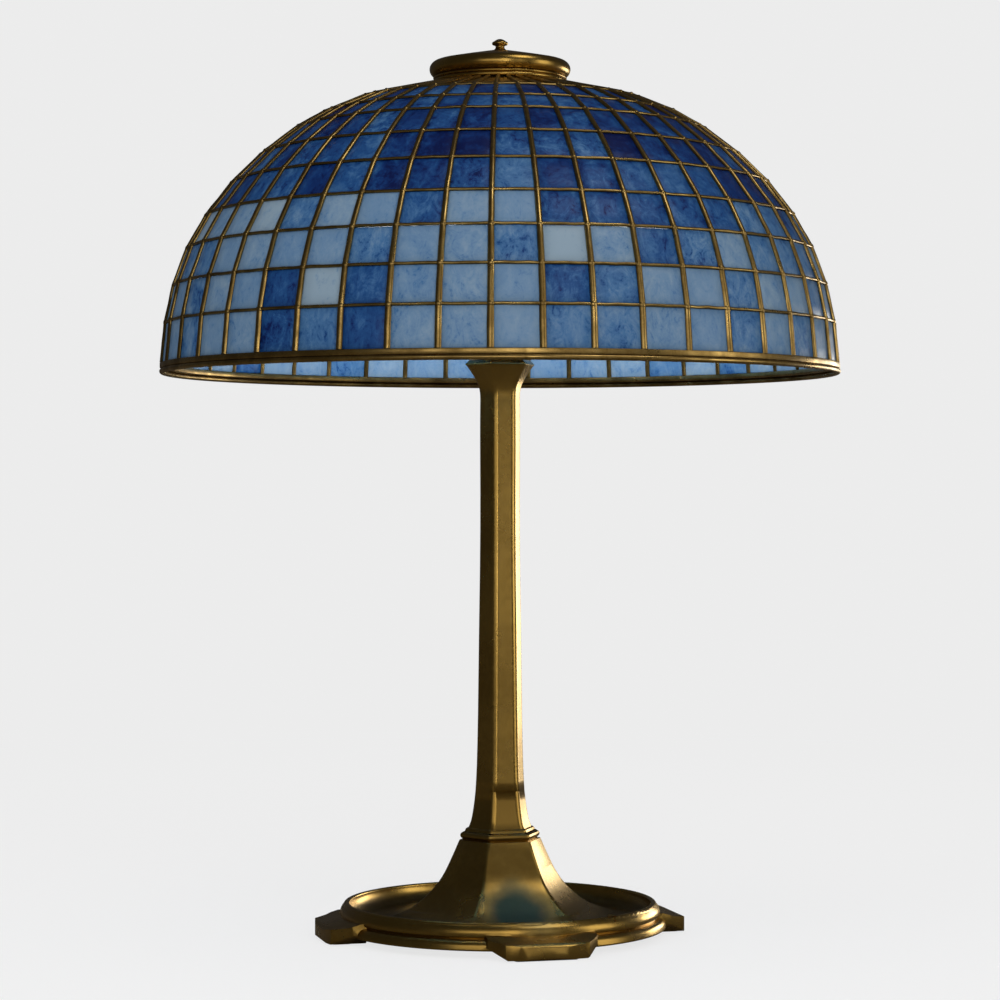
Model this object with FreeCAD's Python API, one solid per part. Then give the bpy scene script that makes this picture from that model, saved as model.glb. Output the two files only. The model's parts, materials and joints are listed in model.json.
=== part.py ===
"""Leaded glass table lamp: cast brass base, hexagonal column, three-light cluster and domed shade.

Millimetres, +Z up. The origin is on the lamp's axis, in the plane that the feet stand on. Heights
in this file are drawn from a datum DATUM_DROP below that plane, and each node is lowered as it is saved.
The front foot points along -Y. An azimuth is counted from -Y towards +X.
"""

import FreeCAD
import Part

import math
import os

Vector = FreeCAD.Vector
AXIS = Vector(0, 0, 1)
ORIGIN = Vector(0, 0, 0)

DATUM_DROP = 2.0

# Base casting: a round dish on four feet, with a hexagonal flare rising from its floor.
FELT_T = 1.0
FLOOR = DATUM_DROP + FELT_T
DISH_R = 104.2
DISH_TOP_Z = 24.3
SKIRT_R = 112.0
SKIRT_Z = 7.0
FLOOR_Z = 12.8
CEILING_Z = 9.8
FLARE_TOP_Z = 66.0
# Circumradius of the hexagonal flare against height, from its foot up.
FLARE = ((97.0, 12.0), (80.0, 15.2), (63.5, 20.6), (52.3, 28.4), (43.6, 37.4),
         (39.4, 43.5), (35.2, 51.6), (31.4, 59.7), (28.6, FLARE_TOP_Z))
WEB_T = 6.8
FEET = 4
FOOT_R = 125.0
FOOT_HALF_FLOOR = 26.5
FOOT_HALF_SKIRT = 33.5
INLET_AZIMUTH = 150.0
INLET_Z = 8.6
BUSHING_R = 4.2
BUSHING_BORE = 3.2
BUSHING_LENGTH = 9.0

# Collar, column and capital, all hexagonal, on one threaded pipe.
COLLAR_TOP_Z = 74.2
COLLAR = ((26.4, FLARE_TOP_Z), (26.4, 66.9), (27.6, 67.6), (28.0, 68.6), (28.0, 69.6), (27.5, 70.6), (26.0, 71.4),
          (24.7, 71.9), (24.6, 72.6), (24.1, 73.6), (23.0, COLLAR_TOP_Z))
COLUMN = ((22.6, COLLAR_TOP_Z), (21.8, 76.0), (20.9, 78.5), (19.7, 84.0), (18.5, 92.0), (17.3, 106.0),
          (16.4, 132.0), (15.9, 160.0), (15.4, 200.0), (14.6, 255.0), (14.45, 310.0), (14.45, 360.0), (15.3, 370.5),
          (17.6, 375.8), (20.6, 380.5), (24.0, 385.2))
COLUMN_TOP_Z = 385.2
COLUMN_BORE = 9.0
PLATE_TOP_Z = 389.0
PLATE_TOP_R = 21.4
PIPE_R = 5.05
PIPE_BORE = 3.6
PIPE_Z = (36.0, 565.0)
PIPE_HOLE = 5.1

# Three-light cluster: its sockets rise outwards from one point on the axis.
CLUSTER_Z = 404.0
CLUSTER_SPAN = (399.0, 429.0)
CLUSTER_R = 22.0
CLUSTER_WALL = 2.0
SOCKETS = 3
SOCKET_TILT = 35.0
SOCKET_AZIMUTH = 60.0
NIPPLE_SPAN = (17.0, 40.0)
CAP_SPAN = (34.0, 51.0)
SHELL_SPAN = (47.0, 90.0)
SHELL_R = 18.0
SHELL_WALL = 0.8
INSULATOR_SPAN = (51.4, 63.0)
INSULATOR_R = 15.6
SCREW_SPAN = (63.0, 87.0)
SCREW_R = 14.2
BULB_SCREW_R = 13.2
BULB_CLEARANCE = 0.06
BULB_SPAN = (65.1, 90.5)
BULB_END = 164.0
BULB_R = 29.0
BULB_WALL = 0.9
KEY_AT = 57.0
KEY_R = 2.0
KEY_CLEARANCE = 0.05

# Top of the stem: the shade's spider, the stud and the riser sleeve.
SEAT_Z = 567.6
SPIDER_RING = (37.0, 45.0)
SPIDER_RING_T = 4.0
HUB_R = 12.0
HUB_Z = (545.0, 555.0)
LOCKNUT_T = 5.0
ARM_WIDTH = 6.0
STUD_R = 2.0
STUD_TOP_Z = 603.0
CAP_HOLE = 2.4
FINIAL_BORE = 2.05

# Shade: flat glass tiles in nine courses between straight ribs. OUTER is the lattice's outer face.
COLUMNS = 45
PITCH = 360.0 / COLUMNS
HALF = math.radians(PITCH / 2)
RIM_R = 227.7
RIM_TOP_Z = 386.0
# Each course's length up the dome and its slope in degrees, from the rim up.
COURSES = ((26.9, 84.4), (25.6, 77.8), (26.1, 69.6), (25.4, 60.4), (27.7, 52.3), (27.2, 44.6),
           (28.0, 37.6), (20.8, 30.0), (25.9, 23.0))
CROWN_R = 45.0
CROWN_TOP_Z = 575.1
GLASS_T = 3.0
GLASS_GAP = 0.16
FLANGE_T = 1.0
RIB_W = 3.4
RIB_WEB = 1.2
BAR_W = 2.2
BAR_WEB = 1.0
BAR_DROP = 0.3
CHANNEL = GLASS_T + 2 * GLASS_GAP
LATTICE_T = CHANNEL + 2 * FLANGE_T
GLASS_MID = FLANGE_T + CHANNEL / 2
BAND_Z = (382.2, 385.9)
BAND_R = 228.4
BAND_INNER = 220.6
SEAT_DEPTH = 2.6
BEAD_R = 1.8
SHADE_R = 228.6
CROWN_T = 1.2
APERTURE_R = 34.0

# Heat cap, from its seat on the ribs up to the rolled edge and the crown.
HEAT_CAP_WALL = 1.3
ROLL_CENTRE = (42.3, 585.2)
ROLL_R = 5.3
CAP_APEX_Z = 598.6
FINIAL_TOP_Z = 605.8


def polar(radius, azimuth, z):
    """A point at a radius and an azimuth in degrees."""
    a = math.radians(azimuth)
    return Vector(radius * math.sin(a), -radius * math.cos(a), z)


def turn(shape, azimuth):
    """A copy turned about the lamp's axis, in degrees."""
    copy = shape.copy()
    copy.rotate(ORIGIN, AXIS, azimuth)
    return copy


def ring_of(shape, count, start=0.0):
    """Copies spread evenly about the axis."""
    return [turn(shape, start + 360.0 * k / count) for k in range(count)]


def outline_wire(outline):
    """A closed wire in the XZ plane: points are corners, and a pair of points is an arc's middle and end."""
    here = first = Vector(outline[0][0], 0, outline[0][1])
    edges = []
    for step in outline[1:]:
        if isinstance(step[0], tuple):
            middle, end = (Vector(p[0], 0, p[1]) for p in step)
            edges.append(Part.Arc(here, middle, end).toShape())
        else:
            end = Vector(step[0], 0, step[1])
            edges.append(Part.LineSegment(here, end).toShape())
        here = end
    if (here - first).Length > 1e-6:
        edges.append(Part.LineSegment(here, first).toShape())
    return Part.Wire(edges)


def turned(outline):
    """A solid of revolution about Z."""
    return Part.Face(outline_wire(outline)).revolve(ORIGIN, AXIS, 360)


def tube(outer, inner, low, high):
    """A plain tube on the axis."""
    return turned([(inner, low), (outer, low), (outer, high), (inner, high)])


def rod(radius, low, high, at=ORIGIN):
    """A plain rod parallel to the axis."""
    return Part.makeCylinder(radius, high - low, Vector(at.x, at.y, low))


def hexagon(circumradius, low, high):
    """A hexagonal bar whose faces look along -Y and every 60 degrees from there."""
    corners = [polar(circumradius, 30 + 60 * k, low) for k in range(7)]
    return Part.Face(Part.makePolygon(corners)).extrude(Vector(0, 0, high - low))


def hex_flare(profile, smooth=True):
    """A hexagonal solid whose circumradius follows (radius, z) points: three crossed slabs."""
    apothem = [Vector(0, -r * math.cos(math.pi / 6), z) for r, z in profile]
    far = [Vector(0, -p.y, p.z) for p in reversed(apothem)]
    if smooth:
        sides = [Part.BSplineCurve(), Part.BSplineCurve()]
        sides[0].interpolate(apothem)
        sides[1].interpolate(far)
        edges = [sides[0].toShape(), Part.LineSegment(apothem[-1], far[0]).toShape(),
                 sides[1].toShape(), Part.LineSegment(far[-1], apothem[0]).toShape()]
        wire = Part.Wire(edges)
    else:
        wire = Part.makePolygon(apothem + far + [apothem[0]])
    reach = 1.2 * max(r for r, _ in profile)
    slab = Part.Face(wire).extrude(Vector(2 * reach, 0, 0))
    slab.translate(Vector(-reach, 0, 0))
    return slab.common(turn(slab, 60)).common(turn(slab, 120))


def one_solid(shape):
    """The single solid that a boolean left."""
    solids = shape.Solids
    assert len(solids) == 1, len(solids)
    return solids[0]


def between(near, far):
    """A solid with flat faces between two matching polygons."""
    count = len(near)
    faces = [Part.Face(Part.makePolygon(near + near[:1])), Part.Face(Part.makePolygon(far + far[:1]))]
    for k in range(count):
        n = (k + 1) % count
        faces.append(Part.Face(Part.makePolygon([near[k], near[n], far[n], far[k], near[k]])))
    solid = Part.Solid(Part.Shell(faces))
    if solid.Volume < 0:
        solid.reverse()
    return solid


def foot_lug():
    """One foot: a rounded lug that slopes down from the dish and narrows to the floor and to its nose."""
    side = [(98, FLOOR), (123.4, FLOOR), (124.8, FLOOR + 1.4), (124.8, 8.4), ((123.6, 11.6), (119.8, 13.2)),
            (113.0, 14.2), (104.0, 16.8), (98, 16.8)]
    width = FOOT_HALF_SKIRT + 8
    lug = Part.Face(outline_wire(side)).extrude(Vector(0, 2 * width, 0))
    lug.translate(Vector(0, -width, 0))
    lug.rotate(ORIGIN, AXIS, -90)
    low, high = FOOT_HALF_FLOOR, FOOT_HALF_SKIRT
    face = [(-low, FLOOR), (low, FLOOR), (high + 4, SKIRT_Z + 3), (high + 4, 20), (-high - 4, 20), (-high - 4, SKIRT_Z + 3)]
    taper = Part.Face(Part.makePolygon([Vector(x, -130, z) for x, z in face + face[:1]]))
    taper = taper.extrude(Vector(0, 60, 0))
    plan = [(-low, -FOOT_R - 2), (low, -FOOT_R - 2), (low + 0.6, -122.5), (high - 2.0, -116.0), (high + 3.0, -109.0),
            (high + 3.0, -90), (-high - 3.0, -90), (-high - 3.0, -109.0), (-high + 2.0, -116.0), (-low - 0.6, -122.5)]
    outline = Part.Face(Part.makePolygon([Vector(x, y, 0) for x, y in plan + plan[:1]]))
    lug = lug.common(taper).common(outline.extrude(Vector(0, 0, 30)))
    return lug.common(rod(FOOT_R - 0.3, 0, 30)).cut(rod(101.0, 0, 30))


def base_casting():
    """The dish, its four feet and the hexagonal flare, hollow from below, with the inlet's notch."""
    outer = turned([(0, CEILING_Z - 0.1), (99.0, CEILING_Z - 0.1), (106.0, SKIRT_Z), (SKIRT_R - 0.9, SKIRT_Z),
                    ((SKIRT_R - 0.2, SKIRT_Z + 0.4), (SKIRT_R, SKIRT_Z + 1.3)), (SKIRT_R - 0.3, 10.4),
                    ((110.2, 12.8), (107.0, 13.9)), (106.2, 14.3), (106.4, 14.9), (107.7, 15.5),
                    ((107.7, 18.6), (105.6, 22.4)), ((104.4, 24.0), (102.9, DISH_TOP_Z)),
                    ((101.8, 23.9), (101.5, 22.8)), ((99.0, 16.6), (92.0, FLOOR_Z)), (0, FLOOR_Z)])
    body = outer.fuse(hex_flare(FLARE))
    for lug in ring_of(foot_lug(), FEET):
        body = body.fuse(lug)
    ceiling = FLARE_TOP_Z - WEB_T
    hollow = turned([(0, 0), (72.0, 0), (72.0, CEILING_Z), (62.0, 13.6), (46.0, 24.0), (36.0, 35.0),
                     (28.5, 46.0), (22.0, ceiling), (0, ceiling)])
    body = body.cut(hollow).cut(rod(PIPE_HOLE, 0, FLARE_TOP_Z + 1))
    notch = Part.makeCylinder(BUSHING_R + 0.02, 24, polar(116, INLET_AZIMUTH, INLET_Z),
                              -polar(1, INLET_AZIMUTH, 0))
    for screw in weight_screw_places():
        body = body.cut(rod(1.7, CEILING_Z - 1, CEILING_Z + 2.2, screw))
    return one_solid(body.cut(notch).removeSplitter())


def felt():
    """The felt under one foot."""
    pad = Part.makeBox(42, 14, FELT_T, Vector(-21, -120, DATUM_DROP))
    return pad.makeFillet(3.0, [e for e in pad.Edges if abs(e.tangentAt(0).z) > 0.9])


def weight_screw_places():
    """Where the three screws that hold the weight are."""
    return [polar(82.0, 30 + 120 * k, 0) for k in range(3)]


def base_weight():
    """The cast-iron ring under the dish floor."""
    ring = tube(92.0, 75.0, 4.6, CEILING_Z - 0.1)
    for place in weight_screw_places():
        ring = ring.cut(rod(1.9, 0, CEILING_Z + 1, place))
    return one_solid(ring)


def weight_screw(place):
    """A pan-head screw, driven up into the casting."""
    return rod(3.6, 3.0, 4.6, place).fuse(rod(1.68, 4.6, CEILING_Z + 2.0, place)).removeSplitter()


def cord_bushing():
    """The insulating bushing of the cord inlet, with a lip outside the skirt."""
    start = 104.4
    body = Part.makeCylinder(BUSHING_R, BUSHING_LENGTH, polar(start, INLET_AZIMUTH, INLET_Z),
                             polar(1, INLET_AZIMUTH, 0))
    lip = Part.makeCylinder(BUSHING_R + 1.3, 1.4, polar(start + BUSHING_LENGTH - 0.2, INLET_AZIMUTH, INLET_Z),
                            polar(1, INLET_AZIMUTH, 0))
    bore = Part.makeCylinder(BUSHING_BORE, 30, polar(start - 10, INLET_AZIMUTH, INLET_Z),
                             polar(1, INLET_AZIMUTH, 0))
    return one_solid(body.fuse(lip).cut(bore).removeSplitter())


def column_collar():
    """The hexagonal moulding between the base and the column."""
    return one_solid(hex_flare(COLLAR, smooth=False).cut(rod(PIPE_HOLE, 0, 100)))


def column():
    """The hexagonal column, with the capital's flare at its top, cast hollow."""
    return one_solid(hex_flare(COLUMN).cut(rod(COLUMN_BORE, 70, 400)))


def capital_plate():
    """The hexagonal plate that closes the capital, and a spigot that centres the column's bore."""
    top = COLUMN[-1][0]
    plate = hex_flare(((top, COLUMN_TOP_Z), (top + 0.1, COLUMN_TOP_Z + 1.0), (PLATE_TOP_R, PLATE_TOP_Z)), smooth=False)
    spigot = rod(COLUMN_BORE - 0.05, COLUMN_TOP_Z - 5, COLUMN_TOP_Z)
    return one_solid(plate.fuse(spigot).cut(rod(PIPE_HOLE, 370, 400)).removeSplitter())


def lamp_pipe():
    """The threaded pipe that clamps the lamp together, with a side hole for the sockets' leads."""
    pipe = tube(PIPE_R, PIPE_BORE, *PIPE_Z)
    side = Part.makeCylinder(2.6, 20, Vector(0, 0, CLUSTER_Z), polar(1, 0, 0))
    return one_solid(pipe.cut(side))


def hex_nut(circumradius, bore, low, high):
    """A plain hexagonal nut."""
    return one_solid(hexagon(circumradius, low, high).cut(rod(bore, low - 1, high + 1)))


def wire_nut(place):
    """A closed-end connector on the end of a riser wire."""
    nut = turned([(1.35, 0), (3.6, 0), (4.0, 1.0), (3.0, 12.0), (2.2, 13.4), (0, 13.4), (0, 11.0), (1.35, 11.0)])
    nut.translate(place)
    return nut


def cluster_body():
    """The cup that the three sockets' nipples screw into."""
    low, high = CLUSTER_SPAN
    cup = turned([(0, low), (13.0, low), ((19.0, low + 2.0), (CLUSTER_R, low + 8.0)),
                  (CLUSTER_R, high), (CLUSTER_R - CLUSTER_WALL, high),
                  (CLUSTER_R - CLUSTER_WALL, low + 8.6), (12.4, low + CLUSTER_WALL), (0, low + CLUSTER_WALL)])
    cup = cup.cut(rod(PIPE_HOLE, low - 1, low + 5))
    for k in range(SOCKETS):
        cup = cup.cut(on_socket(Part.makeCylinder(5.02, 30, Vector(0, 0, 15)), k))
    return one_solid(cup)


def cluster_cover():
    """The domed lid of the cluster."""
    low = CLUSTER_SPAN[1]
    lid = turned([(PIPE_HOLE, low + 7.0), (7.5, low + 7.0), ((16.0, low + 5.2), (CLUSTER_R + 0.4, low + 0.2)),
                  (CLUSTER_R + 0.4, low), (CLUSTER_R - CLUSTER_WALL - 0.1, low),
                  (CLUSTER_R - CLUSTER_WALL - 0.1, low - 2.0), (CLUSTER_R - CLUSTER_WALL - 1.3, low - 2.0),
                  (CLUSTER_R - CLUSTER_WALL - 1.3, low + 0.4), ((14.8, low + 3.7), (7.2, low + 5.4)),
                  (PIPE_HOLE, low + 5.4)])
    return one_solid(lid)


def on_socket(shape, k):
    """Places a shape made along +Z on socket k's own axis, from the cluster's centre."""
    copy = shape.copy()
    copy.rotate(ORIGIN, Vector(1, 0, 0), 90 - SOCKET_TILT)
    copy.translate(Vector(0, 0, CLUSTER_Z))
    return turn(copy, SOCKET_AZIMUTH + 360.0 * k / SOCKETS)


def socket_cap():
    """The spun cap that closes a socket and screws onto its nipple."""
    low, high = CAP_SPAN
    wall = 1.0
    edge = SHELL_R + wall + 0.05
    return turned([(5.04, low), (8.6, low), (8.6, low + 3.4), ((15.0, low + 5.6), (edge, low + 11.0)), (edge, high),
                   (edge - wall, high), (edge - wall, low + 12.0), ((14.2, low + 7.0), (7.6, low + 4.8)),
                   (5.04, low + 4.8)])


def socket_shell():
    """The socket's outer shell, beaded at its mouth, with the hole that its key turns in."""
    low, high = SHELL_SPAN
    inner = SHELL_R - SHELL_WALL
    shell = turned([(inner, low), (SHELL_R, low), (SHELL_R, high - 3.0), ((SHELL_R + 0.9, high - 1.5), (SHELL_R, high)),
                    (inner, high)])
    hole = Part.makeCylinder(KEY_R + 0.8, 20, Vector(8, 0, KEY_AT), Vector(1, 0, 0))
    return one_solid(shell.cut(hole))


def socket_insulator():
    """The porcelain block inside the socket, bored for the key's spindle and the lead."""
    low, high = INSULATOR_SPAN
    block = rod(INSULATOR_R, low, high)
    spindle = Part.makeCylinder(KEY_R + KEY_CLEARANCE, 20, Vector(6, 0, KEY_AT), Vector(1, 0, 0))
    return one_solid(block.cut(spindle).cut(rod(1.9, low - 1, low + 4)))


def screw_shell():
    """The copper sleeve that the bulb screws into."""
    low, high = SCREW_SPAN
    inner = BULB_SCREW_R + BULB_CLEARANCE
    return turned([(0, low), (SCREW_R, low), (SCREW_R, high), (inner, high), (inner, low + 0.8), (0, low + 0.8)])


def turn_key():
    """The flat key and its spindle, across the socket's axis."""
    spindle = Part.makeCylinder(KEY_R, 18.5, Vector(6.5, 0, KEY_AT), Vector(1, 0, 0))
    collar = Part.makeCylinder(3.4, 2.0, Vector(20.2, 0, KEY_AT), Vector(1, 0, 0))
    paddle = Part.makeCylinder(6.0, 2.6, Vector(28.0, -1.3, KEY_AT), Vector(0, 1, 0))
    bar = Part.makeBox(6.0, 2.6, 7.0, Vector(22.0, -1.3, KEY_AT - 3.5))
    return one_solid(spindle.fuse(collar).fuse(paddle).fuse(bar).removeSplitter())


def bulb_base():
    """The bulb's brass screw base and its contact."""
    low, high = BULB_SPAN
    return turned([(0, low - 1.2), (3.0, low - 1.2), (5.0, low), (9.0, low + 1.2), (BULB_SCREW_R, low + 3.4),
                   (BULB_SCREW_R, high - 0.3), (13.6, high), (0, high)])


def bulb_glass():
    """The bulb's glass envelope, open where it is cemented into its base."""
    low = BULB_SPAN[1]
    centre = BULB_END - BULB_R
    join = math.radians(52.0)
    walls = []
    for wall in (0.0, BULB_WALL):
        r = BULB_R - wall
        walls.append([(13.2 - wall, low), (13.8 - wall, low + 10.0),
                      (r * math.cos(join), centre - r * math.sin(join)), (r, centre), (0, centre + r)])
    (a0, a1, a2, a3, a4), (b0, b1, b2, b3, b4) = walls
    return turned([a0, (a1, a2), (a3, a4), b4, (b3, b2), (b1, b0)])


def riser_sleeve():
    """The plain tube that covers the pipe between the cluster and the spider."""
    return tube(7.0, PIPE_HOLE, CLUSTER_SPAN[1] + 7.1 + LOCKNUT_T, HUB_Z[0])


def shade_spider():
    """The wheel that the shade rests on: a hub, three rising arms and a flat ring."""
    inner, outer = SPIDER_RING
    low, high = SEAT_Z - SPIDER_RING_T, SEAT_Z
    wheel = tube(outer, inner, low, high).fuse(tube(HUB_R, PIPE_HOLE, *HUB_Z))
    side = [(8.0, HUB_Z[0] + 2), (8.0, HUB_Z[1] - 2), (inner + 2, high - 0.4), (inner + 2, low + 0.2)]
    arm = Part.Face(Part.makePolygon([Vector(-ARM_WIDTH / 2, -r, z) for r, z in side + side[:1]]))
    arm = arm.extrude(Vector(ARM_WIDTH, 0, 0))
    for copy in ring_of(arm, 3):
        wheel = wheel.fuse(copy)
    return one_solid(wheel.cut(rod(PIPE_HOLE, HUB_Z[0] - 1, HUB_Z[1] + 1)).removeSplitter())


def top_stud():
    """The reducing piece screwed on the pipe, and the thin stud for the finial."""
    low = HUB_Z[1] + LOCKNUT_T
    body = hexagon(8.5, low, low + 12).cut(rod(PIPE_R + 0.05, low - 1, PIPE_Z[1] + 0.1))
    stud = rod(STUD_R, low + 12, STUD_TOP_Z)
    return one_solid(body.fuse(stud).removeSplitter())


def shade_profile():
    """(radius, z) of the lattice's outer face at the rim, at each course line and at the cap."""
    points = [(RIM_R, RIM_TOP_Z)]
    for length, slope in COURSES:
        angle = math.radians(slope)
        r, z = points[-1]
        points.append((r - length * math.cos(angle), z + length * math.sin(angle)))
    return points + [(CROWN_R, CROWN_TOP_Z)]


def offset(points, depth):
    """The profile moved inwards by a depth, mitred at its corners."""
    moved = []
    for k, (r, z) in enumerate(points):
        normals = []
        for a, b in ((k - 1, k), (k, k + 1)):
            if a >= 0 and b < len(points):
                dr, dz = points[b][0] - points[a][0], points[b][1] - points[a][1]
                length = math.hypot(dr, dz)
                normals.append((-dz / length, dr / length))
        nr = sum(n[0] for n in normals) / len(normals)
        nz = sum(n[1] for n in normals) / len(normals)
        scale = depth / (nr * nr + nz * nz)
        moved.append((r + nr * scale, z + nz * scale))
    return moved


def strip(points, top, bottom, width):
    """A bent strip in the meridian plane through the front, between two depths under the profile."""
    upper, lower = offset(points, top), offset(points, bottom)
    ring = [Vector(-width / 2, -r, z) for r, z in upper + lower[::-1]]
    return Part.Face(Part.makePolygon(ring + ring[:1])).extrude(Vector(width, 0, 0))


def rib():
    """One H-section rib from the rim to the crown, and its flat strap over the crown."""
    profile = shade_profile()
    glazed = profile[:-1]
    outer = strip(profile, 0, FLANGE_T, RIB_W)
    web = strip(glazed, FLANGE_T, FLANGE_T + CHANNEL, RIB_WEB)
    inner = strip(glazed, FLANGE_T + CHANNEL, LATTICE_T, RIB_W)
    return one_solid(outer.fuse(web).fuse(inner).removeSplitter())


def cross_bar(k):
    """The H-section bar on course line k, between the ribs at azimuths 0 and PITCH."""
    profile = shade_profile()
    (r0, z0), (r1, z1), (r2, z2) = profile[k - 1], profile[k], profile[k + 1]
    slope = (math.atan2(z1 - z0, r0 - r1) + math.atan2(z2 - z1, r1 - r2)) / 2
    along, inward = (-math.cos(slope), math.sin(slope)), (-math.sin(slope), -math.cos(slope))
    flange, web = BAR_W / 2, BAR_WEB / 2
    steps = (BAR_DROP, FLANGE_T, FLANGE_T + CHANNEL, LATTICE_T - BAR_DROP)
    right = [(flange, steps[0]), (flange, steps[1]), (web, steps[1]), (web, steps[2]), (flange, steps[2]),
             (flange, steps[3])]
    section = right + [(-t, d) for t, d in reversed(right)]
    ends = []
    for sign in (-1, 1):
        points = []
        for t, d in section:
            radius = r1 + t * along[0] + d * inward[0]
            z = z1 + t * along[1] + d * inward[1]
            apothem = radius * math.cos(HALF)
            reach = (apothem * math.sin(HALF) - RIB_W / 2) / math.cos(HALF)
            points.append(Vector(sign * reach, -apothem, z))
        ends.append(points)
    return turn(between(*ends), PITCH / 2)


def glass_tile(k):
    """The flat tile of course k, between the ribs at azimuths 0 and PITCH."""
    middle = offset(shade_profile(), GLASS_MID)
    (r0, z0), (r1, z1) = middle[k - 1], middle[k]
    length = math.hypot(r1 - r0, z1 - z0)
    step = (BAR_WEB / 2 + 2 * GLASS_GAP) / length
    start = -SEAT_DEPTH / length if k == 1 else step
    low = (r0 + (r1 - r0) * start, z0 + (z1 - z0) * start)
    high = (r1 + (r0 - r1) * step, z1 + (z0 - z1) * step)
    side = RIB_WEB / 2 + 2 * GLASS_GAP
    corners = []
    for radius, z in (low, high):
        apothem = radius * math.cos(HALF)
        reach = (apothem * math.sin(HALF) - side) / math.cos(HALF)
        corners.append((apothem, reach, z))
    (a0, w0, z0), (a1, w1, z1) = corners
    ring = [Vector(-w0, -a0, z0), Vector(w0, -a0, z0), Vector(w1, -a1, z1), Vector(-w1, -a1, z1)]
    normal = (ring[1] - ring[0]).cross(ring[2] - ring[1]).normalize()
    face = Part.Face(Part.makePolygon([p - normal * (GLASS_T / 2) for p in ring + ring[:1]]))
    return turn(face.extrude(normal * GLASS_T), PITCH / 2)


def polygon_ring(outer, inner, low, high):
    """A ring with a flat on each side between two ribs."""
    faces = []
    for radius in (outer, inner):
        corners = [polar(radius, PITCH * k, low) for k in range(COLUMNS + 1)]
        faces.append(Part.Face(Part.makePolygon(corners)).extrude(Vector(0, 0, high - low)))
    return faces[0].cut(faces[1])


def rim_band():
    """The faceted channel that the lowest tiles and the ribs stand in."""
    low, high = BAND_Z
    band = polygon_ring(BAND_R, BAND_R - 1.35, low, high)
    band = band.fuse(polygon_ring(BAND_R, BAND_INNER, low, low + 0.8))
    return one_solid(band.fuse(polygon_ring(BAND_INNER + FLANGE_T, BAND_INNER, low, high)).removeSplitter())


def rim_bead():
    """The round wire soldered under the band."""
    return Part.makeTorus(SHADE_R - BEAD_R, BEAD_R, Vector(0, 0, BAND_Z[0] - BEAD_R))


def crown_underside(radius):
    """The height of the crown plate's underside on its flats."""
    (r0, z0), (r1, z1) = offset(shade_profile(), GLASS_MID + CROWN_T / 2)[-2:]
    return z0 + (z1 - z0) * (r0 - radius / math.cos(HALF)) / (r0 - r1)


def crown_plate():
    """The faceted brass cone between the top course and the cap."""
    profile = shade_profile()
    rise = (profile[-1][1] - profile[-2][1]) / (profile[-2][0] - profile[-1][0])
    slope = math.atan(rise)
    solids = []
    for depth in (FLANGE_T + 0.1, FLANGE_T + 0.1 + CROWN_T):
        drop = depth / math.cos(slope)
        edge, hole = profile[-2][0] - 2.2, APERTURE_R
        heights = [profile[-2][1] - drop + rise * (profile[-2][0] - r) for r in (edge, hole)]
        solids.append([[polar(r, PITCH * k, z) for k in range(COLUMNS)] for r, z in zip((edge, hole), heights)])
    (top_out, top_in), (low_out, low_in) = solids
    faces = []
    for k in range(COLUMNS):
        n = (k + 1) % COLUMNS
        for a, b in ((top_out, top_in), (top_in, low_in), (low_in, low_out), (low_out, top_out)):
            faces.append(Part.Face(Part.makePolygon([a[k], a[n], b[n], b[k], a[k]])))
    solid = Part.Solid(Part.Shell(faces))
    if solid.Volume < 0:
        solid.reverse()
    return solid


def aperture_ring():
    """The turned ring under the crown, which sits on the spider."""
    inner, outer = APERTURE_R + 0.5, 47.0
    gap = 0.15
    return turned([(inner, SEAT_Z), (outer, SEAT_Z), (outer, crown_underside(outer) - gap),
                   (inner, crown_underside(inner) - gap)])


def heat_cap():
    """The spun cap with a rolled edge, on a base ring with two small beads."""
    r, z = ROLL_CENTRE
    wall = HEAT_CAP_WALL
    low = CROWN_TOP_Z + 0.25
    top = math.radians(76)
    start = (r + ROLL_R * math.cos(top), z + ROLL_R * math.sin(top))
    under = (r + ROLL_R * math.cos(top) * 2.4, z - ROLL_R * 0.87)
    outline = [(CAP_HOLE, CAP_APEX_Z), ((26.0, 594.0), start), ((r + ROLL_R, z), under),
               (44.0, 580.0), ((45.1, 579.2), (44.2, 578.0)), ((45.3, 576.9), (44.7, low)), (42.6, low),
               (42.2, 579.8), ((r + ROLL_R - wall, z), (start[0] - 0.3, start[1] - wall)),
               ((25.7, 594.0 - wall), (CAP_HOLE, CAP_APEX_Z - wall))]
    return turned(outline)


def finial():
    """The turned knob: a neck, two discs and a button, tapped from below."""
    low = CAP_APEX_Z + 0.1
    knob = turned([(0, low), (4.0, low), ((3.2, low + 0.9), (3.0, low + 2.0)), (3.5, low + 2.6), (4.9, low + 3.1),
                   ((5.4, low + 4.1), (4.9, low + 5.1)), (3.9, low + 5.6), ((2.6, low + 6.5), (0.9, FINIAL_TOP_Z)), (0, FINIAL_TOP_Z)])
    return one_solid(knob.cut(rod(FINIAL_BORE, low - 1, STUD_TOP_Z + 0.2)))


def save(name, *shapes):
    """Writes one node: a solid, or a group of separate solids."""
    solids = [s for shape in shapes for s in shape.translated(Vector(0, 0, -DATUM_DROP)).Solids]
    assert solids and all(s.isValid() and s.Volume > 0 for s in solids), name
    Part.makeCompound(solids).exportStep(f"parts/{name}.step")
    print(f"{name}: {len(solids)} solid(s), {sum(s.Volume for s in solids) / 1000:.1f} cm3")


def save_base():
    """The base and everything that hangs in it."""
    save("base_casting", base_casting())
    save("foot_felts", *ring_of(felt(), FEET))
    save("base_weight", base_weight())
    save("weight_screws", *[weight_screw(p) for p in weight_screw_places()])
    save("cord_bushing", cord_bushing())
    web = FLARE_TOP_Z - WEB_T
    save("pipe_washer", tube(14.0, PIPE_HOLE, web - 2.0, web))
    save("pipe_nut", hex_nut(9.2, PIPE_HOLE, web - 9.0, web - 2.0))


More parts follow.
